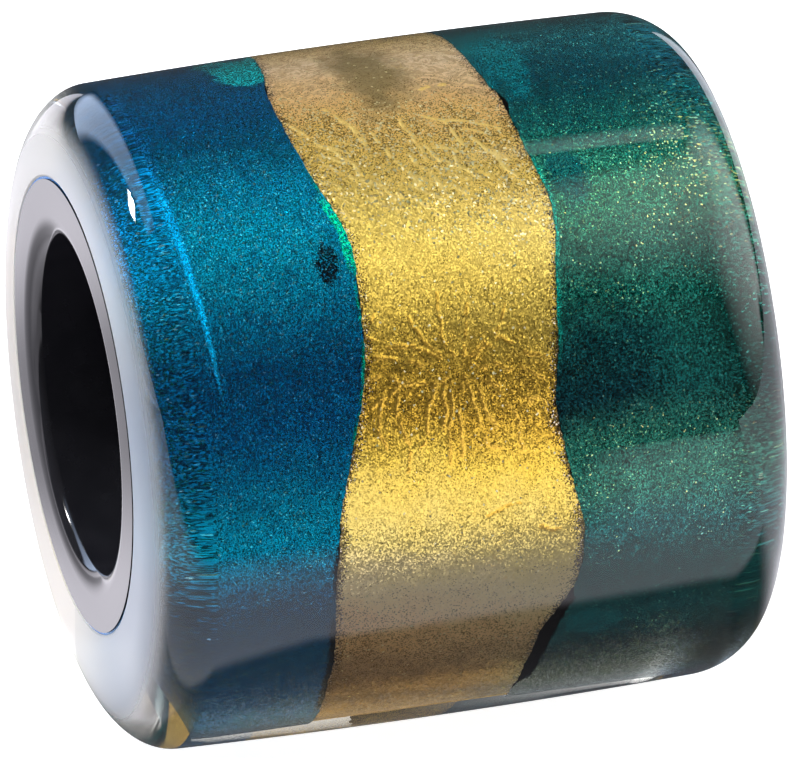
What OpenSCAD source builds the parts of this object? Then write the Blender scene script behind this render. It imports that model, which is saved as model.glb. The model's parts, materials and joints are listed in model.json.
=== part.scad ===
// A dreadlock bead. A black tube carries a blue band, a band of gold leaf and a
// green band, and a clear sleeve is cast over them and turned to a soft barrel.
// The bead lies on its side on the plane z = 0, with its hole along X.

/* [Clear sleeve] */
// Largest diameter of the bead, at the middle of its barrel
bead_d = 18; // [17.6:0.2:22]
// Length of the bead over both ends
bead_l = 17.44; // [15:0.04:20]
// How much thinner the barrel would be at its ends, on the radius
barrel_swell = 0.17; // [0:0.01:0.3]
// Rounding of the left corner, measured along the hole
left_round_l = 1.55; // [0.8:0.05:1.6]
// Rounding of the left corner, measured across the hole
left_round_w = 2.1; // [0.8:0.05:2.1]
// Rounding of the right corner, measured along the hole
right_round_l = 1.8; // [0.8:0.05:1.9]
// Rounding of the right corner, measured across the hole
right_round_w = 1.55; // [0.8:0.05:2.1]
// Depth of the flat under the barrel, on which the bead lies without rolling
rest_flat = 0.1; // [0:0.01:0.15]

/* [Tube] */
// Outer diameter of the black tube
tube_d = 12.1; // [11.4:0.1:12.1]
// Diameter of the hole
bore_d = 9; // [7:0.1:9.4]
// Rounding of the hole's mouths, measured along the hole
mouth_l = 0.35; // [0.1:0.05:0.6]
// Rounding of the hole's mouths, measured across the hole
mouth_w = 0.45; // [0.1:0.05:0.6]
// Height of the tube's axis above the sleeve's axis
tube_rise = 0.55; // [0:0.05:0.55]

/* [Bands] */
// Thickness of the blue and the green paint
paint_t = 0.08; // [0.05:0.01:0.1]
// Thickness of the gold leaf
leaf_t = 0.05; // [0.03:0.01:0.1]
// Bare tube left between the paint and each end
end_margin = 0.04; // [0.02:0.01:0.3]

/* [Hidden] */
$fn = 96;

// Free space between pieces that lie on each other
fit_gap = 0.02;
// Straight pieces of each corner's arc, and of each mouth's
corner_steps = 8;
mouth_steps = 5;
// Straight pieces of the barrel and their length, as a share of half the bead
barrel_steps = 7;
barrel_step = 0.22;
// Places around the tube at which a band's edges are worked out
band_steps = 72;

bead_r = bead_d / 2;
half_l = bead_l / 2;
tube_r = tube_d / 2;
bore_r = bore_d / 2;
sleeve_z = bead_r - rest_flat;
tube_z = sleeve_z + tube_rise;
band_r = tube_r + fit_gap;
sleeve_bore_r = band_r + max(paint_t, leaf_t) + fit_gap;

// Edges of the bands, in mm from the bead's middle, along the hole. The angle
// goes round the tube in degrees, from the top, towards the front.
ANGLE = 0;
BLUE_EDGE = 1;
GOLD_LEFT = 2;
GOLD_RIGHT = 3;
GREEN_EDGE = 4;
EDGES = [
    [  0, -2.92, -2.82, 3.07, 3.50],
    [ 15, -2.70, -2.60, 3.20, 3.28],
    [ 30, -2.40, -2.17, 3.40, 3.48],
    [ 45, -2.35, -2.25, 3.08, 3.16],
    [ 60, -2.50, -2.40, 2.86, 2.98],
    [ 75, -2.96, -2.86, 2.62, 2.76],
    [ 90, -3.40, -3.30, 2.90, 2.98],
    [105, -3.74, -3.44, 3.26, 3.34],
    [120, -3.84, -3.40, 3.15, 3.40],
    [135, -3.76, -3.24, 2.45, 3.45],
    [150, -3.74, -3.20, 2.30, 3.15],
    [165, -3.68, -3.06, 2.30, 3.10],
    [180, -3.52, -2.96, 2.38, 2.96],
    [195, -3.26, -2.86, 2.52, 2.86],
    [210, -3.04, -2.78, 2.74, 2.94],
    [225, -2.90, -2.74, 2.92, 3.10],
    [240, -2.76, -2.62, 2.98, 3.14],
    [255, -2.60, -2.46, 2.84, 3.02],
    [270, -2.44, -2.30, 2.68, 2.86],
    [285, -2.28, -2.16, 2.60, 2.76],
    [300, -2.24, -2.12, 2.66, 2.80],
    [315, -2.38, -2.26, 2.74, 2.88],
    [330, -2.66, -2.55, 2.78, 2.96],
    [345, -2.95, -2.84, 2.86, 3.20],
];

// An edge at any angle, on a smooth closed curve through the table's rows
function edge_at(angle, column) =
    let (rows = len(EDGES), place = angle / 360 * rows, i = floor(place), t = place - i,
         a = EDGES[(i - 1 + rows) % rows][column], b = EDGES[i % rows][column],
         c = EDGES[(i + 1) % rows][column], d = EDGES[(i + 2) % rows][column])
    b + t / 2 * (c - a + t * (2 * a - 5 * b + 4 * c - d + t * (3 * (b - c) + d - a)));

// Radius of the barrel at a place along the hole, before its corners are rounded
function barrel_r(x) = bead_r - barrel_swell * pow(x / half_l, 2);

// A corner's arc as [radius, place along the hole], from the end face outwards
function corner(side, round_l, round_w) = [
    for (i = [0:corner_steps])
        let (a = 90 * i / corner_steps, x = side * (half_l - round_l * (1 - cos(a))))
        [barrel_r(x) - round_w * (1 - sin(a)), x]
];

// The barrel between its corners; an odd count of steps keeps its middle level
function barrel() = [
    for (i = [0:barrel_steps])
        let (x = half_l * barrel_step * (i - barrel_steps / 2))
        [barrel_r(x), x]
];

// A mouth's arc, from the end face into the hole
function mouth(side) = [
    for (i = [0:mouth_steps])
        let (a = 90 * i / mouth_steps)
        [bore_r + mouth_w * (1 - sin(a)), side * (half_l - mouth_l * (1 - cos(a)))]
];

function reversed(list) = [for (i = [len(list) - 1:-1:0]) list[i]];

// Puts a lathe shape, made along Z, on the bead's own direction
module lay_at(height) {
    translate([0, 0, height]) rotate([0, 90, 0]) children();
}

// A shell round the tube between two curves, each given as a list of places
module band(left, right, thickness) {
    n = band_steps;
    outer_r = band_r + thickness;
    function ring_point(i, radius, x) =
        let (a = 360 * i / n) [x, -radius * sin(a), tube_z + radius * cos(a)];
    points = [
        for (i = [0:n - 1])
            each [
                ring_point(i, band_r, left[i]),
                ring_point(i, outer_r, left[i]),
                ring_point(i, outer_r, right[i]),
                ring_point(i, band_r, right[i]),
            ]
    ];
    faces = [
        for (i = [0:n - 1])
            for (k = [0:3])
                let (next = (i + 1) % n, k2 = (k + 1) % 4)
                each [
                    [4 * i + k, 4 * i + k2, 4 * next + k2],
                    [4 * i + k, 4 * next + k2, 4 * next + k],
                ]
    ];
    polyhedron(points, faces);
}

function edge_curve(column) = [for (i = [0:band_steps - 1]) edge_at(360 * i / band_steps, column)];
function end_curve(side) = [for (i = [0:band_steps - 1]) side * (half_l - end_margin)];

// Black tube with its hole, whose mouths are rounded
module core_tube() {
    color([0.05, 0.05, 0.06])
        lay_at(tube_z)
            rotate_extrude()
                polygon(concat(
                    mouth(-1), reversed(mouth(1)), [[tube_r, half_l], [tube_r, -half_l]]));
}

// Blue paint on the left part of the tube
module blue_band() {
    color([0.02, 0.42, 0.55])
        band(end_curve(-1), edge_curve(BLUE_EDGE), paint_t);
}

// Gold leaf round the middle of the tube
module gold_leaf() {
    color([0.85, 0.68, 0.2])
        band(edge_curve(GOLD_LEFT), edge_curve(GOLD_RIGHT), leaf_t);
}

// Green paint on the right part of the tube
module green_band() {
    color([0.03, 0.33, 0.28])
        band(edge_curve(GREEN_EDGE), end_curve(1), paint_t);
}

// Clear sleeve over the bands, with rounded corners and a narrow flat below
module clear_resin() {
    color([0.85, 0.92, 0.95, 0.35])
        difference() {
            lay_at(sleeve_z)
                rotate_extrude()
                    polygon(concat(
                        [[0, -half_l]],
                        corner(-1, left_round_l, left_round_w), barrel(),
                        reversed(corner(1, right_round_l, right_round_w)),
                        [[0, half_l]]));
            lay_at(tube_z)
                cylinder(h = bead_l + 2, r = sleeve_bore_r, center = true);
            translate([-bead_l, -bead_d, -bead_d])
                cube([2 * bead_l, 2 * bead_d, bead_d]);
        }
}

core_tube();
blue_band();
gold_leaf();
green_band();
clear_resin();
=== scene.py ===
import json
import math

import bpy
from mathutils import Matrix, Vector, noise


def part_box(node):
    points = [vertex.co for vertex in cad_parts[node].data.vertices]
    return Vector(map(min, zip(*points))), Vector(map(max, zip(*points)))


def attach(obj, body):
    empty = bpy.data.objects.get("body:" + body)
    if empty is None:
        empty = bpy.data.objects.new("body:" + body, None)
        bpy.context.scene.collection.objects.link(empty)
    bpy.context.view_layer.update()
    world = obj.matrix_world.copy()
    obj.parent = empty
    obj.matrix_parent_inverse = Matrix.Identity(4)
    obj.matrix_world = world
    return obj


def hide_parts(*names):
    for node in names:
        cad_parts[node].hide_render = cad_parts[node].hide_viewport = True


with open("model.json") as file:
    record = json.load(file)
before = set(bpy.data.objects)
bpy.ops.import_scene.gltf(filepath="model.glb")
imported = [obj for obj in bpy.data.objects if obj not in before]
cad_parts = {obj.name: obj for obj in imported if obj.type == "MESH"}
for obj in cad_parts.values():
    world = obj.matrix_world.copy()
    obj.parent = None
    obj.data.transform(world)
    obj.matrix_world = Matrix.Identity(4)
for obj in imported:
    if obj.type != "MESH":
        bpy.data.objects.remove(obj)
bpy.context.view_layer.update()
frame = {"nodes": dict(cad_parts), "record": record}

# Camera
# It stands off to the left of the bead's front and looks down on it by thirty degrees, from sixty
# of the bead's own radii away, so that the left end and the hole's mouth show.
MM = 0.001
sleeve_low, sleeve_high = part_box("clear_resin")
SLEEVE_R = (sleeve_high.y - sleeve_low.y) / 2
SLEEVE_Z = sleeve_high.z - SLEEVE_R
HALF_L = (sleeve_high.x - sleeve_low.x) / 2
CAMERA_AZIMUTH = math.radians(-15.65)
CAMERA_ELEVATION = math.radians(30.33)
CAMERA_DISTANCE = 60 * SLEEVE_R
# The bead sits a little left of the picture's middle
AIM_RIGHT = 0.233 * MM
# Width of the picture at the bead's distance
VIEW_WIDTH = 21.2 * MM


def direction(azimuth, elevation):
    """Unit vector towards a place seen from the bead, azimuth 0 being straight in front."""
    level = math.cos(elevation)
    return Vector((math.sin(azimuth) * level, -math.cos(azimuth) * level, math.sin(elevation)))


def looking_at(thing, place, target):
    """Puts a camera or a light at a place, with its front towards the target."""
    thing.location = place
    thing.rotation_euler = (target - place).to_track_quat("-Z", "Y").to_euler()


right = Vector((math.cos(CAMERA_AZIMUTH), math.sin(CAMERA_AZIMUTH), 0))
aim = Vector((0, 0, SLEEVE_Z)) + AIM_RIGHT * right
bpy.ops.object.camera_add()
camera = bpy.context.object
camera.name = "camera"
camera.data.angle = 2 * math.atan(VIEW_WIDTH / 2 / CAMERA_DISTANCE)
looking_at(camera, aim + CAMERA_DISTANCE * direction(CAMERA_AZIMUTH, CAMERA_ELEVATION), aim)
bpy.context.scene.camera = camera

# Core tube
# A length of black plastic tube carries all the layers. Its ends are cut square and polished flush
# with the sleeve, and the mouths of its hole are rounded over so that hair slides in.
tube_low, tube_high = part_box("core_tube")
TUBE_R = (tube_high.y - tube_low.y) / 2
TUBE_Z = tube_high.z - TUBE_R
BORE_R = frame["record"]["mounts"][0]["dims"]["r_mm"] * MM
MOUTH_ALONG = 0.35 * MM
MOUTH_ACROSS = 0.62 * MM
MOUTH_STEPS = 10
TUBE_SIDES = 256
# Points closer together than this are one point
WELD = MM / 10000
PLASTIC_IOR = 1.52


def arc(steps):
    """Angles of a quarter turn, both ends included."""
    return [math.pi / 2 * i / steps for i in range(steps + 1)]


def turned(name, profile, axis_z, sides):
    """A shape turned on a lathe along the bead, from its outline as (place along, radius)."""
    bpy.ops.object.select_all(action="DESELECT")
    bpy.ops.mesh.primitive_circle_add(vertices=3, radius=0.1 * MM, location=(0, 0, axis_z))
    piece = bpy.context.object
    piece.name = name
    bpy.ops.object.mode_set(mode="EDIT")
    bpy.ops.mesh.merge(type="CENTER")
    along, radius = profile[0]
    bpy.ops.transform.translate(value=(along, 0, radius))
    for next_along, next_radius in profile[1:]:
        step = (next_along - along, 0, next_radius - radius)
        bpy.ops.mesh.extrude_region_move(TRANSFORM_OT_translate={"value": step})
        along, radius = next_along, next_radius
    bpy.ops.mesh.select_all(action="SELECT")
    bpy.ops.mesh.spin(steps=sides, angle=2 * math.pi, center=(0, 0, axis_z), axis=(1, 0, 0))
    bpy.ops.mesh.select_all(action="SELECT")
    bpy.ops.mesh.remove_doubles(threshold=WELD)
    bpy.ops.mesh.normals_make_consistent(inside=False)
    bpy.ops.object.mode_set(mode="OBJECT")
    bpy.ops.object.transform_apply(location=True, rotation=True, scale=True)
    return piece


def finished(piece, material, sharp_from):
    """Smooths a piece, but for edges sharper than this angle in degrees, and gives its material."""
    bpy.ops.object.select_all(action="DESELECT")
    piece.select_set(True)
    bpy.context.view_layer.objects.active = piece
    bpy.ops.object.shade_smooth_by_angle(angle=math.radians(sharp_from))
    piece.data.materials.clear()
    piece.data.materials.append(material)


class Wire:
    """A socket of a material, on which Python's own signs add the material's maths."""

    def __init__(self, tree, socket=None):
        self.tree = tree
        self.socket = socket

    def node(self, kind, settings=None, sockets=None, out=0):
        """Adds a node, sets it up, feeds its sockets, and gives the output that is asked for."""
        new = self.tree.nodes.new("ShaderNode" + kind)
        for name, value in (settings or {}).items():
            if name == "stops":
                ramp = new.color_ramp.elements
                while len(ramp) < len(value):
                    ramp.new(0.5)
                for element, (place, colour) in zip(ramp, value):
                    element.position = place
                    element.color = (*colour, 1)
            else:
                setattr(new, name, value)
        for name, value in (sockets or {}).items():
            if isinstance(value, Wire):
                self.tree.links.new(value.socket, new.inputs[name])
            elif new.inputs[name].type == "RGBA":
                new.inputs[name].default_value = (*value, 1)
            else:
                new.inputs[name].default_value = value
        return Wire(self.tree, new.outputs[out] if len(new.outputs) else None)

    def math(self, operation, *values):
        return self.node("Math", {"operation": operation}, dict(enumerate(values)))

    def __add__(self, other):
        return self.math("ADD", self, other)

    __radd__ = __add__

    def __sub__(self, other):
        return self.math("SUBTRACT", self, other)

    def __rsub__(self, other):
        return self.math("SUBTRACT", other, self)

    def __mul__(self, other):
        return self.math("MULTIPLY", self, other)

    __rmul__ = __mul__

    def __truediv__(self, other):
        return self.math("DIVIDE", self, other)

    def __pow__(self, other):
        return self.math("POWER", self, other)

    def __neg__(self):
        return self.math("MULTIPLY", self, -1.0)

    def most(self, other):
        """The larger of two values."""
        return self.math("MAXIMUM", self, other)

    def step(self, low, high):
        """0 below low and 1 above high, with a soft change between them."""
        sockets = {"Value": self, "From Min": low, "From Max": high}
        return self.node("MapRange", {"interpolation_type": "SMOOTHSTEP"}, sockets)

    def mixed(self, first, second):
        """A colour, the first where this is 0 and the second where it is 1."""
        return self.node("Mix", {"data_type": "RGBA"}, {0: self, 6: first, 7: second}, 2)

    def blend(self, first, second):
        """A shader, the first where this is 0 and the second where it is 1."""
        return self.node("MixShader", {}, {0: self, 1: first, 2: second})

    def aimed(self, first, second):
        """A direction, the first where this is 0 and the second where it is 1."""
        return self.node("Mix", {"data_type": "VECTOR"}, {0: self, 4: first, 5: second}, 1)

    def vector(self, operation, *values, out=0):
        return self.node("VectorMath", {"operation": operation}, dict(enumerate(values)), out)


def new_material(name):
    """An empty material, and a wire that starts its nodes."""
    material = bpy.data.materials.new(name)
    material.use_nodes = True
    material.node_tree.nodes.clear()
    return material, Wire(material.node_tree)


def scaled(vector, factor):
    """A vector made this many times as long."""
    return vector.node("VectorMath", {"operation": "SCALE"}, {0: vector, "Scale": factor})


def parts(vector):
    """The three numbers of a vector."""
    split = vector.node("SeparateXYZ", {}, {0: vector})
    return [Wire(split.tree, socket) for socket in split.socket.node.outputs]


def on_tube(start):
    """A point as vector and as place along the tube, both in mm, then as degrees round the tube
    from its top towards the front."""
    middle = start.vector("SUBTRACT", start.node("TexCoord", out="Object"), (0, 0, TUBE_Z))
    point = scaled(middle, 1 / MM)
    x, y, z = parts(point)
    return point, x, y.math("ARCTAN2", -y, z) * (180 / math.pi)


def speckle(point, size, detail=2.0, roughness=0.5):
    """Soft noise from 0 to 1 whose spots are about this many millimetres wide."""
    sockets = {"Vector": point, "Scale": 1 / size, "Detail": detail, "Roughness": roughness}
    return point.node("TexNoise", {}, sockets)


def make_black_plastic():
    material, start = new_material("black_plastic")
    point = on_tube(start)[0]
    along, y, z = parts(point)
    radius = (y * y + z * z) ** 0.5
    wear = speckle(point, 0.9, detail=4.0)
    turning = speckle(point.vector("MULTIPLY", point, (0.2, 1, 1)), 0.15)
    bump = start.node("Bump", {}, {"Height": turning, "Strength": 0.05, "Distance": 0.01 * MM})
    bare = start.node("BsdfPrincipled", {}, {
        "Base Color": wear.mixed((0.006, 0.006, 0.008), (0.02, 0.02, 0.024)),
        "Roughness": 0.06 + wear * 0.08,
        "IOR": PLASTIC_IOR,
        "Normal": bump,
    })
    # Where the clear sleeve is bonded to the plastic, no light comes back from the joint
    bonded = start.node("BsdfPrincipled", {}, {
        "Base Color": wear.mixed((0.0015, 0.0015, 0.0015), (0.006, 0.005, 0.005)),
        "Roughness": 0.9,
        "Specular IOR Level": 0.0,
    })
    covered = radius.step(TUBE_R / MM - 0.03, TUBE_R / MM - 0.01)
    inside = (-along.math("ABSOLUTE", along)).step(-HALF_L / MM + 0.005, -HALF_L / MM + 0.01)
    start.node("OutputMaterial", {}, {"Surface": (covered * inside).blend(bare, bonded)})
    return material


mouth = [
    (HALF_L - MOUTH_ALONG * (1 - math.cos(a)), BORE_R + MOUTH_ACROSS * (1 - math.sin(a)))
    for a in arc(MOUTH_STEPS)
]
tube_outline = [(-HALF_L, TUBE_R)]
tube_outline += [(-along, radius) for along, radius in mouth]
tube_outline += reversed(mouth)
tube_outline += [(HALF_L, TUBE_R), (-HALF_L, TUBE_R)]
tube = turned("tube", tube_outline, TUBE_Z, TUBE_SIDES)
finished(tube, make_black_plastic(), 40)
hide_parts("core_tube")
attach(tube, "root")

# Blue band
# Glitter paint in blue is brushed over the left half of the tube and left with a wavy right edge.
# Its teal flakes lie almost flat, and its margin next to the gold turns to emerald.
PAINT_ROWS = 420
PAINT_COLUMNS = 44
# The rows are closest together here, and this much closer than if they were even
FRONT_DEGREES = 60
CROWDING = 0.5
PAINT_THICKNESS = 0.08 * MM
# Width of the flakes in mm, and of the few that stand out as sparks, and how far they lean
BLUE_FLAKE = 0.026
BLUE_SPARK = 0.036
FLAKE_LEAN = 0.55
BLUE_SPARK_LEAN = 1.2
FLAKE_ROUGHNESS = 0.2
FLAKE_METAL = 0.85
# Millimetres round the tube in one degree
DEGREE_MM = math.radians(1) * TUBE_R / MM
# Where the torn edges start to read their noise
NOISE_SEED = Vector((3.1, 7.7, 1.9))


def edges_of(node):
    """The left and right edges of a band's solid, at places evenly spaced round the tube."""
    places = {}
    for vertex in frame["nodes"][node].data.vertices:
        y, z = vertex.co.y, vertex.co.z - TUBE_Z
        turn = round(math.degrees(math.atan2(-y, z)), 2) % 360
        places.setdefault(round(turn), []).append(vertex.co.x)
    return sorted((turn, min(along), max(along)) for turn, along in places.items())


def edge_at(edges, degrees, side):
    """Where an edge, 1 for the left one and 2 for the right one, is at an angle."""
    spacing = 360 / len(edges)
    place = degrees % 360 / spacing
    first = int(place) % len(edges)
    share = place - int(place)
    a, b, c, d = (edges[(first + i) % len(edges)][side] for i in (-1, 0, 1, 2))
    bend = 2 * a - 5 * b + 4 * c - d + share * (3 * (b - c) + d - a)
    return b + share / 2 * (c - a + share * bend)


def ragged(degrees, depth, seed):
    """How far a torn edge strays from its smooth line, in metres."""
    turn = math.radians(degrees)
    ring = Vector((math.cos(turn), math.sin(turn), 0)) * (TUBE_R / MM)
    broad = noise.noise(ring * 1.1 + seed)
    middle = noise.noise(ring * 3.3 + seed * 2)
    fine = noise.noise(ring * 9.0 + seed * 3)
    return depth * (0.9 * broad + 0.6 * middle + 0.45 * fine)


def row_angle(place):
    """Degrees round the tube of a row at a place from -1 to 1, with more rows in front."""
    return FRONT_DEGREES + 180 * place - CROWDING * math.degrees(math.sin(math.pi * place))


def laid_round(name, rows, columns, left, right, height):
    """A thin layer laid round the tube between two edges, which are functions of the angle in
    degrees. height gives how high its face lies over the tube at a place and an angle. The
    distance from each edge, in mm, is kept as an attribute."""
    bpy.ops.object.select_all(action="DESELECT")
    bpy.ops.mesh.primitive_grid_add(x_subdivisions=columns, y_subdivisions=rows, size=2)
    piece = bpy.context.object
    piece.name = name
    mesh = piece.data
    from_left = mesh.attributes.new("from_left", "FLOAT", "POINT")
    from_right = mesh.attributes.new("from_right", "FLOAT", "POINT")
    limits = {}
    for vertex in mesh.vertices:
        share = (vertex.co.x + 1) / 2
        degrees = round(row_angle(vertex.co.y), 4)
        if degrees not in limits:
            limits[degrees] = (left(degrees), right(degrees))
        low, high = limits[degrees]
        along = low + share * (high - low)
        radius = TUBE_R + height(along, degrees)
        turn = math.radians(degrees)
        vertex.co = (along, -radius * math.sin(turn), TUBE_Z + radius * math.cos(turn))
        from_left.data[vertex.index].value = (along - low) / MM
        from_right.data[vertex.index].value = (high - along) / MM
    bpy.ops.object.mode_set(mode="EDIT")
    bpy.ops.mesh.select_all(action="SELECT")
    bpy.ops.mesh.remove_doubles(threshold=10 * WELD)
    bpy.ops.mesh.select_mode(type="EDGE")
    bpy.ops.mesh.select_all(action="DESELECT")
    bpy.ops.mesh.select_non_manifold()
    bpy.ops.mesh.extrude_region_move()
    inwards = (1, TUBE_R / (TUBE_R + PAINT_THICKNESS), TUBE_R / (TUBE_R + PAINT_THICKNESS))
    bpy.ops.transform.resize(value=inwards, center_override=(0, 0, TUBE_Z))
    bpy.ops.mesh.bridge_edge_loops()
    bpy.ops.mesh.select_all(action="SELECT")
    bpy.ops.mesh.normals_make_consistent(inside=False)
    bpy.ops.mesh.select_mode(type="VERT")
    bpy.ops.object.mode_set(mode="OBJECT")
    return piece


def flakes(point, size, tilt, seed=0.0):
    """A face covered in flat flakes of this size in mm, each leaning its own way, as its normal
    and a number from 0 to 1 for each flake."""
    cells = point.node("TexVoronoi", {}, {
        "Vector": point.vector("ADD", point, (seed, seed, seed)),
        "Scale": 1 / size,
    }, "Color")
    lean = scaled(cells.vector("SUBTRACT", cells, (0.5, 0.5, 0.5)), tilt)
    face = point.node("NewGeometry", out="Normal")
    normal = lean.vector("NORMALIZE", lean.vector("ADD", face, lean))
    return normal, parts(cells)[0]


def blot(along, turn, wobble, place, degrees, half_width, half_height, edge=0.3):
    """A patch round a place on the tube, 1 inside it and 0 outside it, with an uneven edge. Its
    half width and half height are in mm."""
    across = (along - place) / half_width
    down = (turn - degrees) * (DEGREE_MM / half_height)
    reach = (across * across + down * down) ** 0.5 + (wobble - 0.5) * 1.6
    return 1 - reach.step(0.95 - edge / 2, 0.95 + edge / 2)


def between(value, low, high, fade):
    """1 from low to high and 0 further out, fading over this width on both sides."""
    return value.step(low - fade, low + fade) * (1 - value.step(high - fade, high + fade))


def round_ramp(turn, stops):
    """Colours by degrees round the tube, from a list of (degrees, colour)."""
    places = [((degrees + 180) / 360, colour) for degrees, colour in stops]
    return turn.node("ValToRGB", {"stops": places}, {0: (turn + 180) / 360})


def multiplied(first, second):
    """A colour times another one."""
    settings = {"data_type": "RGBA", "blend_type": "MULTIPLY"}
    return first.node("Mix", settings, {0: 1.0, 6: first, 7: second}, 2)


def attribute(start, name):
    """A number that is kept at each point of the mesh."""
    return start.node("Attribute", {"attribute_name": name}, {}, "Fac")


def glitter(start, colour, normal, roughness, metal=1.0):
    """Metal flakes, with matt binder between them where they aren't all metal."""
    return start.node("BsdfPrincipled", {}, {
        "Base Color": colour,
        "Metallic": metal,
        "Roughness": roughness,
        "Specular IOR Level": 0.0,
        "Normal": normal,
    })


def make_blue_paint():
    material, start = new_material("blue_glitter_paint")
    point, along, turn = on_tube(start)
    to_gold = attribute(start, "from_right")
    cloud = speckle(point, 0.5, detail=3.0)
    wobble = speckle(point, 0.7, detail=4.0)
    fine = speckle(point, 0.05)
    normal, chance = flakes(point, BLUE_FLAKE, FLAKE_LEAN)
    spark_normal, spark = flakes(point, BLUE_SPARK, BLUE_SPARK_LEAN, seed=5.0)
    teal = chance.mixed((0.0, 0.36, 0.52), (0.0, 0.58, 0.76))
    teal = (cloud.step(0.35, 0.75) * 0.5).mixed(teal, (0.0, 0.30, 0.50))
    teal = spark.step(0.95, 0.97).mixed(teal, (0.15, 0.9, 1.0))
    flash = spark.step(0.988, 0.99)
    teal = flash.mixed(teal, (0.5, 1.0, 1.0))
    swayed = turn + (wobble - 0.5) * 10
    # Painted light and shade by the angle round the tube: lighter in the two zones where the light
    # falls most, darker between them and round the back
    teal = multiplied(teal, round_ramp(swayed, [
        (-180, (0.2, 0.22, 0.32)), (-20, (0.2, 0.22, 0.26)), (0, (0.25, 0.25, 0.32)),
        (14, (0.4, 0.44, 0.52)), (26, (0.4, 0.5, 0.56)), (36, (0.3, 0.37, 0.44)),
        (47, (0.2, 0.24, 0.34)), (58, (0.1, 0.15, 0.27)), (70, (0.1, 0.2, 0.36)),
        (80, (0.15, 0.22, 0.32)), (89, (0.25, 0.34, 0.39)), (98, (0.35, 0.48, 0.53)),
        (104, (0.3, 0.4, 0.47)), (113, (0.18, 0.2, 0.29)), (140, (0.15, 0.26, 0.44)),
        (165, (0.2, 0.4, 0.85)), (180, (0.2, 0.22, 0.32)),
    ]))
    # Navy over the top; azure at the left end, partly its own colour and partly painted light where
    # the hot spot falls; and teal on top beside the gold
    navy = 1 - turn.step(-14.0, 4.0)
    teal = (navy * 0.75).mixed(teal, (0.0, 0.08, 0.19))
    azure_and_painted_light = (1 - along.step(-7.6, -6.2)) * (1 - turn.step(16, 50)) * 0.7
    teal = azure_and_painted_light.mixed(teal, (0.0, 0.26, 0.75))
    corner = blot(along, turn, wobble, -2.6, -38, 1.2, 1.5)
    teal = (corner * 0.9).mixed(teal, (0.0, 0.42, 0.44))
    # Emerald along the gold
    sliver = (1 - (to_gold + (wobble - 0.5) * 0.3).step(0.2, 0.3)) * between(turn, 20, 37, 2.0)
    margin = (1 - to_gold.step(0.03, 0.12)) * between(turn, 14, 78, 5.0) * cloud.step(0.4, 0.6)
    teal = (margin * 0.8).mixed(teal, (0.0, 0.30, 0.16))
    teal = (sliver * fine.step(0.36, 0.56)).mixed(teal, (0.0, 0.7, 0.36))
    # Painted light: a bright caustic streak, as focused by the left corner, that leans and narrows
    # as it runs down
    caustic_middle = along + 6.79 - turn * 0.0083
    width = 0.24 - turn * 0.0028
    painted_caustic = 1 - (caustic_middle.math("ABSOLUTE", caustic_middle) / width).step(0.1, 1.0)
    painted_caustic = painted_caustic * between(turn, 6, 56, 12.0)
    teal = (painted_caustic * 0.8).mixed(teal, (0.0, 0.50, 1.0))
    # Black tube shows in a spot and where the margin is worn
    spot = blot(along, turn, wobble, -2.86, 36, 0.42, 0.9, 0.9)
    worn = (1 - to_gold.step(0.05, 0.5)) * between(turn, 116, 172, 12.0)
    worn = worn.most((1 - to_gold.step(0.02, 0.34)) * between(turn, 98, 118, 8.0))
    worn = (worn + spot * 0.9 - fine * 0.9).step(0.3, 0.5)
    teal = worn.mixed(teal, (0.003, 0.003, 0.004))
    flake_normal = flash.aimed(normal, spark_normal)
    paint = glitter(start, teal, flake_normal, FLAKE_ROUGHNESS, FLAKE_METAL)
    start.node("OutputMaterial", {}, {"Surface": paint})
    return material


blue_edges = edges_of("blue_band")
gold_edges = edges_of("gold_leaf")
blue = laid_round(
    "blue_paint", PAINT_ROWS, PAINT_COLUMNS,
    lambda degrees: edge_at(blue_edges, degrees, 1),
    lambda degrees: edge_at(gold_edges, degrees, 1) + ragged(degrees, 0.05 * MM, NOISE_SEED),
    lambda along, degrees: PAINT_THICKNESS,
)
finished(blue, make_blue_paint(), 50)
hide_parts("blue_band")
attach(blue, "root")

# Gold leaf
# A strip of thin metal leaf is laid round the middle of the tube over wet size. It creases as it is
# pressed down, in slanting folds near the top and in a star of folds lower down.
LEAF_ROWS = 620
LEAF_COLUMNS = 148
LEAF_THICKNESS = 0.04 * MM
CREASE_HEIGHT = 0.03 * MM
# Width in mm of the leaf's bright grains, of those that glint, and of its dull pits
LEAF_GRAIN = 0.03
LEAF_GLINT = 0.05
LEAF_PIT = 0.028
GRAIN_LEAN = 0.3
GLINT_LEAN = 0.7
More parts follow.
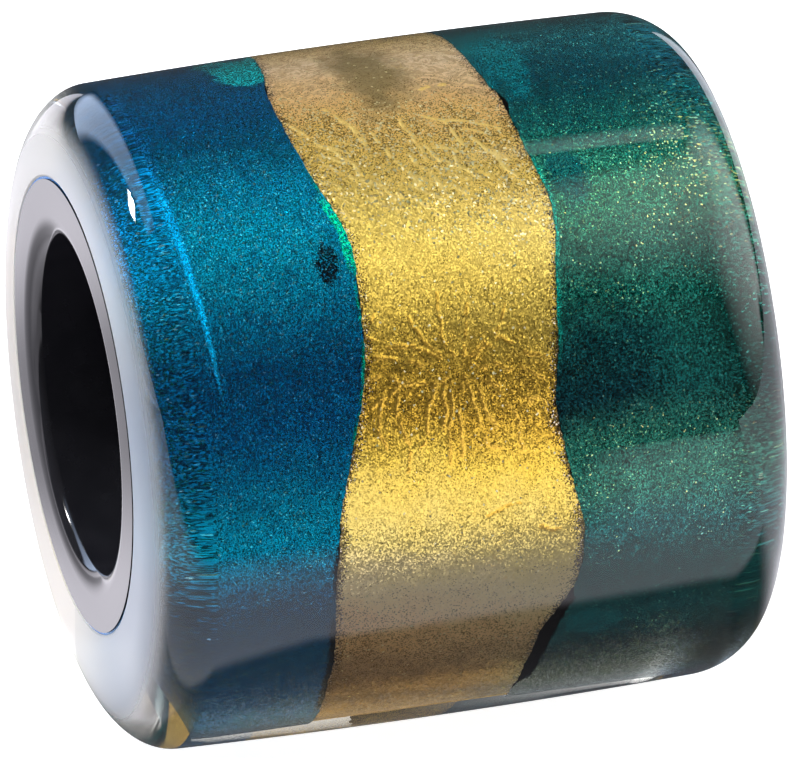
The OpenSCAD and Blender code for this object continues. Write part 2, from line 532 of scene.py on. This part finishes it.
# Folds of the leaf, each by a few places on its crest, (along in mm, round in degrees):
# first the slanting ones near the top, then the star's, then a few low ones
FOLDS = [
    [(-0.7, 2), (-0.3, 12), (0.1, 19)],
    [(-1.6, 14), (-0.9, 18), (-0.6, 22)],
    [(-1.1, 19), (-0.8, 22)],
    [(-0.5, 20), (-0.1, 23), (0.4, 28)],
    [(0.6, 8), (0.95, 15)],
    [(1.2, 13), (1.7, 20)],
    [(0.1, 10), (0.5, 18), (0.8, 23)],
    [(1.3, 1), (1.9, 2), (2.7, 6)],
    [(0.8, -2), (1.4, 1), (1.6, 10)],
    [(1.1, -12), (1.7, -13), (2.5, -11)],
    [(-1.6, -9), (-1.1, -1), (-0.9, 6)],
    [(-2.7, -5), (-2.3, 1), (-1.8, 6)],
    [(-1.9, 6), (-1.5, 10), (-1.3, 16)],
    [(0.2, -1), (0.4, 5), (0.5, 12)],
    [(1.9, 8), (2.3, 13), (2.6, 20)],
    [(-0.2, 64), (-0.6, 66), (-1.5, 64), (-2.1, 68), (-2.6, 70)],
    [(-2.3, 53), (-1.7, 56), (-1.0, 57), (-0.3, 61)],
    [(-2.4, 58), (-1.5, 59), (-0.9, 61)],
    [(-1.5, 64), (-2.0, 62), (-2.5, 63)],
    [(-0.5, 66), (-0.8, 70), (-0.9, 76), (-1.2, 80)],
    [(-0.3, 66), (-0.4, 69), (-0.5, 77)],
    [(-0.1, 66), (-0.2, 70), (-0.4, 78), (-0.3, 84)],
    [(0.1, 67), (0.0, 74), (0.0, 82)],
    [(0.2, 65), (0.4, 72), (0.7, 80), (1.1, 83)],
    [(0.4, 64), (0.9, 77)],
    [(0.4, 62), (0.8, 63), (1.9, 65), (2.4, 68)],
    [(0.3, 60), (1.3, 57), (1.9, 61), (2.6, 63)],
    [(0.7, 66), (1.3, 69), (2.3, 73)],
    [(0.9, 66), (1.5, 76), (1.6, 83)],
    [(-1.6, 66), (-1.7, 72), (-1.4, 78), (-1.5, 84)],
    [(-2.0, 68), (-2.2, 74), (-2.0, 80)],
    [(-1.0, 50), (-0.8, 56), (-0.3, 60)],
    [(-0.2, 46), (-0.3, 55), (0.0, 60)],
    [(0.6, 46), (0.4, 55), (0.2, 60)],
    [(1.6, 50), (1.3, 55), (0.6, 60)],
    [(1.9, 72), (2.4, 78)],
    [(-1.8, 46), (-2.1, 51)],
    [(2.1, 103), (2.6, 104)],
    [(0.3, 99), (1.0, 96), (1.5, 96)],
]
FOLD_HALF_WIDTH = 0.075
# Every fold of the table lies between these angles
FOLDED_FROM = -20
FOLDED_TO = 110
# How far folds stray from a straight line, and the distance between the fine slanting ridges
FOLD_SWAY = 0.12
RIDGE_SPACING = 0.36
# Radius of the ring on which the folds' noise is read, so that it closes round the tube
NOISE_RING_R = 6


def soft(value, low, high):
    """0 below low and 1 above high, with a soft change between them."""
    share = min(1.0, max(0.0, (value - low) / (high - low)))
    return share * share * (3 - 2 * share)


def crease(along, degrees):
    """How far the leaf is folded up at a place, from 0 to 1."""
    turn = (degrees + 180) % 360 - 180
    down = math.radians(degrees)
    ring = Vector((along / MM, math.sin(down) * NOISE_RING_R, math.cos(down) * NOISE_RING_R))
    x = along / MM + FOLD_SWAY * noise.noise(ring * 2.2)
    s = turn * DEGREE_MM + FOLD_SWAY * noise.noise(ring * 2.2 + Vector((7, 7, 7)))
    nearest = 1.0
    for fold in FOLDS if FOLDED_FROM < turn < FOLDED_TO else []:
        for (start_x, start_turn), (end_x, end_turn) in zip(fold, fold[1:]):
            run_x, run_s = end_x - start_x, (end_turn - start_turn) * DEGREE_MM
            away_x, away_s = x - start_x, s - start_turn * DEGREE_MM
            share = (away_x * run_x + away_s * run_s) / (run_x * run_x + run_s * run_s)
            share = min(1.0, max(0.0, share))
            nearest = min(nearest, math.hypot(away_x - share * run_x, away_s - share * run_s))
    broken = soft(noise.noise(ring * 4.5), -0.45, 0.1)
    fold = broken * (1 - soft(nearest, 0.2 * FOLD_HALF_WIDTH, FOLD_HALF_WIDTH))
    across = s * 0.86 - x * 0.51 + 0.2 * noise.noise(ring * 1.3)
    slant = math.cos(2 * math.pi * across / RIDGE_SPACING)
    slant = max(0.0, slant) ** 4 * soft(noise.noise(ring * 1.1), 0.0, 0.3)
    slant *= soft(turn, 0, 6) * (1 - soft(turn, 24, 32))
    stray = max(0.0, 1 - abs(noise.noise(ring * 2.4)) * 7) * soft(noise.noise(ring * 0.6), 0, 0.4)
    return max(fold, 0.7 * slant, 0.3 * stray)


def leaf_height(along, degrees):
    """How high the leaf's face lies over the tube."""
    turn = math.radians(degrees)
    place = Vector((along / MM, math.sin(turn) * TUBE_R / MM, math.cos(turn) * TUBE_R / MM))
    dents = 0.5 + 0.5 * noise.noise(place * 1.3)
    grain = noise.noise(place * 7.0)
    folds = crease(along, degrees)
    return LEAF_THICKNESS + CREASE_HEIGHT * (0.4 * folds + 0.3 * dents + 0.1 * grain)


def make_gold_leaf():
    material, start = new_material("creased_gold_leaf")
    point, along, turn = on_tube(start)
    to_right = attribute(start, "from_right")
    to_left = attribute(start, "from_left")
    crest = attribute(start, "crease")
    wobble = speckle(point, 0.7, detail=4.0)
    cloud = speckle(point, 0.45, detail=4.0)
    warp = point.node("TexNoise", {}, {"Vector": point, "Scale": 0.9}, "Color")
    swirl = point.vector("ADD", point, scaled(warp.vector("SUBTRACT", warp, (0.5, 0.5, 0.5)), 1.6))
    hair = speckle(point.vector("MULTIPLY", swirl, (0.3, 1, 1)), 0.1, detail=3.0, roughness=0.6)
    normal, chance = flakes(point, LEAF_GRAIN, GRAIN_LEAN)
    spark_normal, spark = flakes(point, LEAF_GLINT, GLINT_LEAN, seed=3.0)
    pepper = flakes(point, LEAF_PIT, 0.0, seed=7.0)[1]
    swayed = turn + (wobble - 0.5) * 16 - along * 2.0
    # Painted light and shade by the angle round the tube: bright metal where the light falls,
    # browner over the top, and dark towards the bottom where the bead shades itself
    bright = round_ramp(swayed, [
        (-180, (0.72, 0.50, 0.14)), (-60, (0.95, 0.68, 0.16)), (-30, (1.0, 0.80, 0.52)),
        (-8, (1.0, 0.66, 0.25)), (6, (1.0, 0.68, 0.17)), (30, (1.0, 0.75, 0.17)),
        (52, (1.0, 0.70, 0.12)), (63, (1.0, 0.64, 0.08)), (74, (1.0, 0.62, 0.07)),
        (84, (1.0, 0.71, 0.1)), (106, (0.95, 0.76, 0.22)), (118, (1.0, 0.82, 0.4)),
        (132, (0.98, 0.68, 0.32)), (150, (0.5, 0.33, 0.16)), (166, (0.12, 0.08, 0.05)),
        (180, (0.72, 0.50, 0.14)),
    ])
    # Share of the face that is covered in dull pits, and how evenly they are spread
    pitted = parts(round_ramp(swayed, [
        (-180, (0.3, 0, 0)), (-60, (0.3, 0, 0)), (-30, (0.0, 0, 0)), (-10, (0.16, 0, 0)),
        (2, (0.44, 0, 0)), (14, (0.26, 0, 0)), (28, (0.02, 0, 0)), (54, (0.04, 0, 0)),
        (64, (0.2, 0, 0)), (74, (0.22, 0, 0)), (83, (0.05, 0, 0)), (106, (0.02, 0, 0)),
        (124, (0.1, 0, 0)), (140, (0.35, 0, 0)), (180, (0.3, 0, 0)),
    ]))[0]
    to_edge = to_right.math("MINIMUM", to_right, to_left)
    uneven = 0.35 + pitted
    pitted = pitted + (1 - to_edge.step(0.0, 0.4)) * 0.3 + (cloud - 0.5) * uneven
    pits = (pitted - crest * 0.9 - pepper).step(-0.08, 0.08)
    colour = chance.mixed((0.86, 0.86, 0.86), (1.0, 1.0, 1.0))
    colour = multiplied(bright, colour)
    # Silky brown swirls and an olive shadow on top
    silk = 1 - swayed.step(-16, -4)
    colour = (silk * hair.step(0.44, 0.56) * 0.6).mixed(colour, (0.55, 0.34, 0.15))
    olive = blot(along, turn, wobble, 0.05, -24, 0.95, 1.9, 1.0)
    colour = (olive * 0.85).mixed(colour, (0.28, 0.21, 0.08))
    colour = (pits * 0.9).mixed(colour, (0.17, 0.1, 0.015))
    # Painted highlight: the folds' crests are drawn bright yellow whatever light falls there
    crest_highlight = swayed.step(30, 44).mixed((1.0, 0.76, 0.24), (1.0, 0.62, 0.09))
    colour = (crest.step(0.15, 0.5) * 0.85).mixed(colour, crest_highlight)
    # Its torn rim is frayed into black and pale crumbs, widest where it runs straight down
    frayed = 0.07 + between(turn, 56, 122, 8.0) * cloud.step(0.3, 0.6) * 0.16
    rim = 1 - ((to_edge + (wobble - 0.5) * 0.4 + (pepper - 0.5) * 0.3) / frayed).step(0.7, 1.0)
    crumbs = chance.step(0.88, 0.92)
    colour = (rim * 0.8).mixed(colour, crumbs.mixed((0.02, 0.015, 0.02), (0.85, 0.78, 0.66)))
    roughness = 0.3 + (1 - swayed.step(-6, 30)) * 0.26 + pits * 0.1
    glints = (1 - swayed.step(20, 40)) * swayed.step(-14, 0) * 0.12 + 0.008
    flash = (spark + glints).step(0.999, 1.001)
    colour = flash.mixed(colour, (1.0, 0.88, 0.5))
    leaf = glitter(start, colour, flash.aimed(normal, spark_normal), roughness)
    start.node("OutputMaterial", {}, {"Surface": leaf})
    return material


gold = laid_round(
    "gold_leaf_strip", LEAF_ROWS, LEAF_COLUMNS,
    lambda degrees: edge_at(gold_edges, degrees, 1) + ragged(degrees, 0.06 * MM, NOISE_SEED * 2),
    lambda degrees: edge_at(gold_edges, degrees, 2) + ragged(degrees, 0.08 * MM, NOISE_SEED * 3),
    leaf_height,
)
folded = gold.data.attributes.new("crease", "FLOAT", "POINT")
for vertex in gold.data.vertices:
    degrees = math.degrees(math.atan2(-vertex.co.y, vertex.co.z - TUBE_Z))
    folded.data[vertex.index].value = crease(vertex.co.x, degrees)
finished(gold, make_gold_leaf(), 60)
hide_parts("gold_leaf")
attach(gold, "root")

# Green band
# Dark green glitter paint covers the right part of the tube. It leaves bare black tube beside the
# gold in two places, and its flakes flash yellow and green.
# Width in mm of the green's flakes and of its sparks, and how far the sparks lean
GREEN_FLAKE = 0.028
GREEN_SPARK = 0.036
GREEN_SPARK_LEAN = 0.8
# Where it leaves bare tube, from and to in degrees round, and the share of the gap left open
BARE_STRETCHES = [(-7, 0, 0.36), (124, 164, 0.42)]
# Degrees over which the gap opens and closes
BARE_FADE = 3


def green_edge(degrees):
    """The green's left edge, against the gold but where the tube is bare."""
    turn = (degrees + 180) % 360 - 180
    bare = 0
    for low, high, share in BARE_STRETCHES:
        inside = soft(turn, low - BARE_FADE, low + BARE_FADE)
        bare += share * inside * (1 - soft(turn, high - BARE_FADE, high + BARE_FADE))
    beside = edge_at(gold_edges, degrees, 2) - 0.02 * MM
    far = edge_at(green_edges, degrees, 1)
    torn = ragged(degrees * 2, (0.04 + 0.1 * bare) * MM, NOISE_SEED * 4)
    return beside + bare * (far - beside) + torn


def make_green_paint():
    material, start = new_material("green_glitter_paint")
    point, along, turn = on_tube(start)
    to_gold = attribute(start, "from_left")
    cloud = speckle(point, 0.5, detail=3.0)
    wobble = speckle(point, 0.7, detail=4.0)
    normal, chance = flakes(point, GREEN_FLAKE, FLAKE_LEAN)
    spark_normal, spark = flakes(point, GREEN_SPARK, GREEN_SPARK_LEAN, seed=9.0)
    leafy = chance.mixed((0.0, 0.2, 0.16), (0.07, 0.5, 0.34))
    leafy = (cloud.step(0.35, 0.75) * 0.5).mixed(leafy, (0.0, 0.12, 0.10))
    near_end = along.step(5.4, 7.4) * between(turn, -2, 32, 14.0)
    flash = (spark + near_end * 0.16 + 0.008).step(0.999, 1.001)
    leafy = spark.step(0.96, 0.97).mixed(leafy, (0.3, 0.9, 0.5))
    leafy = flash.mixed(leafy, chance.mixed((0.95, 1.0, 0.25), (0.3, 1.0, 0.8)))
    # Painted light and shade by the angle round the tube: lighter in the two zones where the light
    # falls most, darker between them, round the back and at the bottom
    leafy = multiplied(leafy, round_ramp(turn + (wobble - 0.5) * 10, [
        (-180, (0.4, 0.22, 0.5)), (-28, (0.3, 0.42, 0.66)), (-10, (0.15, 0.25, 0.42)),
        (8, (0.3, 0.42, 0.5)), (18, (0.75, 0.62, 0.58)), (28, (0.9, 0.7, 0.55)),
        (41, (0.6, 0.4, 0.4)), (52, (0.3, 0.32, 0.35)), (62, (0.1, 0.17, 0.25)),
        (74, (0.05, 0.09, 0.16)), (82, (0.5, 0.34, 0.34)), (95, (0.8, 0.58, 0.55)),
        (107, (0.5, 0.5, 0.68)), (124, (0.2, 0.42, 0.58)), (136, (0.2, 0.42, 0.6)),
        (148, (0.1, 0.14, 0.24)), (166, (0.05, 0.06, 0.1)), (180, (0.4, 0.22, 0.5)),
    ]))
    # Lighter towards the end, with two teal patches, a dark one and a bright rim at the gold
    lighter = along.step(4.6, 6.6) * between(turn, 44, 76, 8.0)
    leafy = (lighter * 0.45).mixed(leafy, (0.02, 0.22, 0.17))
    teal = blot(along, turn, wobble, 3.8, 136, 0.75, 0.6)
    teal = teal.most(blot(along, turn, wobble, 3.5, -22, 0.7, 1.9, 0.7))
    leafy = (teal * 0.6).mixed(leafy, (0.0, 0.22, 0.24))
    dark = blot(along, turn, wobble, 4.0, 22, 0.55, 0.9, 0.8)
    leafy = (dark * 0.6).mixed(leafy, (0.0, 0.08, 0.11))
    rim = (1 - to_gold.step(0.03, 0.16)) * between(turn, 16, 60, 8.0)
    leafy = (rim * 0.7).mixed(leafy, (0.0, 0.36, 0.27))
    flake_normal = flash.aimed(normal, spark_normal)
    paint = glitter(start, leafy, flake_normal, FLAKE_ROUGHNESS, FLAKE_METAL)
    start.node("OutputMaterial", {}, {"Surface": paint})
    return material


green_edges = edges_of("green_band")
green = laid_round(
    "green_paint", PAINT_ROWS, PAINT_COLUMNS,
    green_edge,
    lambda degrees: edge_at(green_edges, degrees, 2),
    lambda along, degrees: PAINT_THICKNESS,
)
finished(green, make_green_paint(), 50)
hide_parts("green_band")
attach(green, "root")

# Clear sleeve
# Clear resin is cast over the layers and bonded to them. It is turned to a soft barrel with rounded
# corners, thicker below than above, and polished.
BARREL_SWELL = 0.17 * MM
LEFT_ROUND = (1.55 * MM, 2.1 * MM)
RIGHT_ROUND = (1.8 * MM, 1.55 * MM)
CORNER_STEPS = 20
BARREL_STATIONS = 24
SLEEVE_SIDES = 320
# The resin wets the tube, so its inner wall lies just under the layers
WET_WALL_R = TUBE_R - 0.02 * MM
SEAM_R = TUBE_R + 0.12 * MM
SEAM_DEPTH = 0.1 * MM
RESIN_IOR = 1.545
RESIN_DENSITY = 12.0
# Share of its left end that scatters light
DUSTY_SHARE = 0.45


def barrel_r(along):
    """Radius of the barrel at a place along the bead, before its corners are rounded."""
    return SLEEVE_R - BARREL_SWELL * (along / HALF_L) ** 2


def rounded_corner(side, along_size, across_size):
    """A corner's outline from the end face to the barrel."""
    line = []
    for a in arc(CORNER_STEPS):
        along = side * (HALF_L - along_size * (1 - math.cos(a)))
        line.append((along, barrel_r(along) - across_size * (1 - math.sin(a))))
    return line


def make_clear_resin():
    material, start = new_material("clear_resin")
    point, along, turn = on_tube(start)
    ripple = speckle(point, 2.5)
    cut_end = (along.math("ABSOLUTE", along) - HALF_L / MM).step(-0.35, -0.1)
    # 0 at the left end and less than 0 inwards, in mm
    from_end = -along - HALF_L / MM
    low_corner = from_end.step(-2.0, -0.6) * turn.step(125, 160)
    milky = from_end.step(-0.5, -0.05)
    top_rim = from_end.step(-1.3, -0.7) * (1 - turn.step(-45, -20))
    # Painted shade: near the left end, low in front, the resin is tinted darker and bluer
    shaded = from_end.step(-0.35, -0.1) * between(turn, 45, 165, 25.0)
    bump = start.node("Bump", {}, {"Height": ripple, "Strength": 0.1, "Distance": 0.02 * MM})
    resin = start.node("BsdfPrincipled", {}, {
        "Base Color": shaded.mixed((1, 1, 1), (0.52, 0.63, 0.78)),
        "Roughness": cut_end * 0.35 + low_corner * 0.2,
        "IOR": RESIN_IOR,
        "Transmission Weight": 1.0,
        "Normal": bump,
    })
    # The left end was only rubbed smooth, so it scatters some light; low in front its colour holds
    # painted shade
    rubbed_and_shaded = shaded.mixed((0.9, 0.9, 0.87), (0.54, 0.62, 0.72))
    rubbed = start.node("BsdfPrincipled", {}, {"Base Color": rubbed_and_shaded, "Roughness": 0.4})
    face = (milky.most(top_rim) * DUSTY_SHARE).blend(resin, rubbed)
    depth = {"Color": (1, 0.93, 0.74), "Density": RESIN_DENSITY}
    tint = start.node("VolumeAbsorption", {}, depth)
    start.node("OutputMaterial", {}, {"Surface": face, "Volume": tint})
    return material


left_corner = rounded_corner(-1, *LEFT_ROUND)
right_corner = rounded_corner(1, *RIGHT_ROUND)
span = right_corner[-1][0] - left_corner[-1][0]
barrel = [left_corner[-1][0] + span * i / BARREL_STATIONS for i in range(1, BARREL_STATIONS)]
skin = left_corner + [(along, barrel_r(along)) for along in barrel] + right_corner[::-1]
wall = [
    (-HALF_L, SEAM_R), (-HALF_L + SEAM_DEPTH, WET_WALL_R),
    (HALF_L - SEAM_DEPTH, WET_WALL_R), (HALF_L, SEAM_R),
]
sleeve = turned("sleeve", skin, SLEEVE_Z, SLEEVE_SIDES)
lining = turned("sleeve_lining", wall, TUBE_Z, SLEEVE_SIDES)
bpy.ops.object.select_all(action="DESELECT")
lining.select_set(True)
sleeve.select_set(True)
bpy.context.view_layer.objects.active = sleeve
bpy.ops.object.join()
bpy.ops.object.mode_set(mode="EDIT")
bpy.ops.mesh.select_mode(type="EDGE")
for end in (-HALF_L, HALF_L):
    bpy.ops.mesh.select_all(action="DESELECT")
    bpy.ops.mesh.select_non_manifold()
    bpy.ops.object.mode_set(mode="OBJECT")
    for edge in sleeve.data.edges:
        if abs(sleeve.data.vertices[edge.vertices[0]].co.x - end) > MM / 100:
            edge.select = False
    bpy.ops.object.mode_set(mode="EDIT")
    bpy.ops.mesh.bridge_edge_loops()
bpy.ops.mesh.select_mode(type="VERT")
bpy.ops.mesh.select_all(action="SELECT")
# The flat under the barrel
bpy.ops.mesh.bisect(
    plane_co=(0, 0, 0), plane_no=(0, 0, 1), use_fill=True, clear_inner=True, threshold=WELD)
bpy.ops.mesh.select_all(action="SELECT")
bpy.ops.mesh.normals_make_consistent(inside=False)
bpy.ops.object.mode_set(mode="OBJECT")
finished(sleeve, make_clear_resin(), 30)
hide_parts("clear_resin")
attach(sleeve, "root")

# Table and light
# The bead lies on a white table. Large soft lamps stand to its right and behind it on the left,
# and a small one makes the hot spot. More lamps light the bands or the rubbed end alone.
TABLE_SIZE = 3.0
TABLE_DROP = 0.01 * MM
# How much brighter the table is to the bands than to the outside of the resin
THROUGH_RESIN = 0.75
LAMP_DISTANCE = 0.8
LAMP_CELLS = 12


def through_resin(start):
    """1 on what shows through the resin, then 1 only where no band mirrors it on the way."""
    through = start.node("LightPath", out="Is Transmission Ray")
    return through, through * (1 - start.node("LightPath", out="Glossy Depth")).step(0.0, 1.0)


def make_table():
    """White paper to the camera. Its glow, which the bead mirrors, is brighter and uneven."""
    material, start = new_material("white_table")
    x, y = parts(scaled(start.node("TexCoord", out="Object"), 1 / MM))[:2]
    seen = start.node("LightPath", out="Is Camera Ray")
    paper = start.node("BsdfPrincipled", {}, {
        "Base Color": (0.7, 0.7, 0.7),
        "Roughness": 0.9,
        "Specular IOR Level": 0.0,
        "Emission Color": (1, 1, 1),
        "Emission Strength": 0.9,
    })
    # The table is brightest to the right and to the left of the bead, and fades to the front
    near = y.step(-34.0, -16.0) * 1.1
    right_front = (x + 0.28 * y).step(-1.0, 3.0)
    right_near = (x + 0.5 * y).step(0.0, 12.0) * 1.2
    # The painted shadow in front of the bead reaches less far out on its left
    reach = y + (x + 3.0).math("MINIMUM", x + 3.0, 0.0) * 0.55
    right = right_front.most(right_near) * y.step(-300.0, -50.0)
    front = near.most(right) * (1 - reach.step(-12.8, -11.4))
    left = (1 - x.step(-9.5, -8.5)) * x.step(-45.0, -20.0) * (y - 0.2 * x).step(-8.0, 4.0) * 1.7
    behind = y.step(7.0, 10.0) * (1 - (x + 0.15 * y).step(-1.0, 5.0))
    behind = behind * (1 - y.step(26.0, 34.0)) * 1.6
    beside = (x - 0.45 * y.math("ABSOLUTE", y)).step(9.0, 14.0) * 1.3
    # Painted shade: a dimmer patch of the glow on the left, which the tube's end mirrors
    dip = between(y, 9.5, 21.5, 4.0) * (1 - x.step(-10.5, -9.5)) * 0.62
    around = front.most(left).most(behind).most(beside) * (1 - dip)
    # Under the bead its glow holds a painted shadow in front, and behind it painted light, as if
    # lit through the resin and tinted by the bands
    shade = reach.step(-13, -11) * (1 - y.step(8, 10)) * between(x, -9, 9, 0.5)
    tint = between(x, -4.4, 2.6, 0.6).mixed((0.8, 0.9, 0.45), (1.1, 0.78, 0.25))
    tint = x.step(6.5, 8.5).mixed(tint, (1.5, 1.5, 1.1))
    tint = (1 - x.step(-6.4, -5.6)).mixed(tint, (1.1, 1.1, 0.8))
    tint = y.step(0.0, 2.0).mixed((0.1, 0.1, 0.11), tint)
    light = (around / 2.0).mixed((0.05, 0.05, 0.05), (2.0, 1.94, 2.13))
    # Seen through the clear resin alone it is paper, with a painted yellowish shadow in line with
    # the bead, but the bands catch more of its light
    through, straight = through_resin(start)
    far = through * y.step(30.0, 60.0) * 0.6
    light = far.mixed(light, (2.0, 2.0, 2.0))
    paper_seen = between(x, -7, 12, 1.0).mixed((0.95, 0.95, 0.95), (0.33, 0.34, 0.23))
    light = straight.mixed(light, paper_seen)
    light = shade.mixed(light, tint)
    strength = 1 + through * (1 - straight) * THROUGH_RESIN
    glow = start.node("Emission", {}, {"Color": light, "Strength": strength})
    start.node("OutputMaterial", {}, {"Surface": seen.blend(glow, paper)})
    return material


bpy.ops.object.select_all(action="DESELECT")
bpy.ops.mesh.primitive_plane_add(size=TABLE_SIZE, location=(0, 0, -TABLE_DROP))
bpy.ops.object.transform_apply(location=True)
table = bpy.context.object
table.name = "table"
table.data.materials.append(make_table())


def sky(side, turn):
    """Direction from the bead, in degrees to the right of straight up and round to the front."""
    side = math.radians(side)
    turn = math.radians(turn)
    level = math.cos(side)
    return Vector((math.sin(side), -level * math.sin(turn), level * math.cos(turn)))


def soft_lamp(name, corners, near, far, soft_edge, soft_side, tint=(1, 1, 1), lights="all"):
    """A lamp that fills the part of the sky between four corners, each (side, turn). Its edges
    fade over the share soft_edge of its width, over three times as much between the first
    corner and the fourth, and over soft_side between the second and the third. Its radiance
    grows from near, between the first two corners, to far. One that lights the bands gives no
    highlight on the resin, and one that lights what is matt lights neither."""
    bpy.ops.object.select_all(action="DESELECT")
    bpy.ops.mesh.primitive_grid_add(x_subdivisions=LAMP_CELLS, y_subdivisions=LAMP_CELLS, size=2)
    screen = bpy.context.object
    screen.name = name
    a, b, c, d = (Vector(corner) for corner in corners)
    for vertex in screen.data.vertices:
        across = (vertex.co.x + 1) / 2
        along = (vertex.co.y + 1) / 2
        side, turn = a.lerp(b, across).lerp(d.lerp(c, across), along)
        vertex.co = Vector((0, 0, SLEEVE_Z)) + LAMP_DISTANCE * sky(side, turn)
    material, start = new_material(name)
    u, v = parts(start.node("TexCoord", out="UV"))[:2]
    lit = u.step(0, 3 * soft_edge) * (1 - u).step(0, soft_side)
    lit = lit * v.step(0, soft_edge) * (1 - v).step(0, soft_edge)
    lit = lit * (near / far + v.step(0.05, 0.6) * (1 - near / far))
    glow = start.node("Emission", {}, {"Color": lit.mixed((0, 0, 0), tint), "Strength": far})
    start.node("OutputMaterial", {}, {"Surface": glow})
    screen.data.materials.append(material)
    screen.visible_camera = False
    screen.visible_glossy = lights == "all"
    screen.visible_transmission = lights != "matt"


soft_lamp(
    "right_lamp", [(13, -3), (13, 36), (87, 165), (87, -112)],
    near=1.7, far=3.0, soft_edge=0.07, soft_side=0.6,
)
soft_lamp(
    "top_strip", [(13, -22), (13, -13), (30, -13), (30, -22)],
    near=1.3, far=1.3, soft_edge=0.2, soft_side=0.2,
)
soft_lamp(
    "left_lamp", [(-14, -4), (-36, -8), (-30, -98), (6, -90)],
    near=1.1, far=2.8, soft_edge=0.08, soft_side=0.2, tint=(0.72, 0.88, 1.2),
)
soft_lamp(
    "hot_spot", [(-25, -27), (-25, -38), (-45, -38), (-45, -27)],
    near=160.0, far=160.0, soft_edge=0.16, soft_side=0.5,
)
soft_lamp(
    "fill", [(-16, -40), (-16, 52), (12, 52), (12, -40)],
    near=1.3, far=1.3, soft_edge=0.3, soft_side=0.2, lights="bands",
)
soft_lamp(
    "back_fill", [(-16, -112), (-16, -30), (14, -30), (14, -112)],
    near=2.2, far=2.2, soft_edge=0.2, soft_side=0.2, lights="bands",
)
soft_lamp(
    "corner_glint", [(-34, -35), (-34, 28), (-14, 28), (-14, -35)],
    near=4.0, far=4.0, soft_edge=0.1, soft_side=0.1, lights="bands",
)
soft_lamp(
    "end_light", [(-55, -80), (-55, 80), (-85, 80), (-85, -80)],
    near=2.3, far=2.3, soft_edge=0.1, soft_side=0.1, lights="matt",
)

world = bpy.data.worlds.new("studio")
world.use_nodes = True
backdrop = Wire(world.node_tree)
world.node_tree.nodes.clear()
seen = backdrop.node("LightPath", out="Is Camera Ray")
through, straight = through_resin(backdrop)
light = straight.mixed((0.05, 0.05, 0.05), (1.0, 0.99, 0.95))
air = backdrop.node("Background", {}, {"Color": seen.mixed(light, (1, 1, 1))})
backdrop.node("OutputWorld", {}, {"Surface": air})
bpy.context.scene.world = world
bpy.context.scene.view_settings.view_transform = "Standard"
